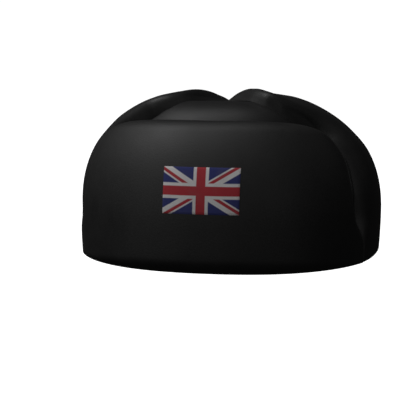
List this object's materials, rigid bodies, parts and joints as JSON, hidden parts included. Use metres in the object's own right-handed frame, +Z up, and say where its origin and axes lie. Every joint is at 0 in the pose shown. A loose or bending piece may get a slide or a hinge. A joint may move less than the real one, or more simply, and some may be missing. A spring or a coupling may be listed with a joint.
{
  "type": "ushanka",
  "caption": "Round padded cap with a turned-up front flap, ear flaps folded up to meet on top, a nape flap and a small flag patch.",
  "frame": {"origin": "middle of the rim that the hat rests on, on the floor plane", "axes": "+Z up towards the crown, -Y the front with the flag patch, +X the wearer's left, which is on the right seen from the front"},
  "size_m": [0.233, 0.2623, 0.1278],
  "materials": {
    "black_leather": "soft smooth black leather, satin",
    "lining": "plain black quilted lining, matt",
    "flag_cloth": "red, white and blue woven patch, a little faded"
  },
  "bodies": {
    "root": {"crown": "black_leather", "front_flap": "black_leather", "ear_flap_left": "black_leather", "ear_flap_right": "black_leather", "nape_flap": "black_leather", "flag_patch": "flag_cloth"}
  },
  "joints": []
}
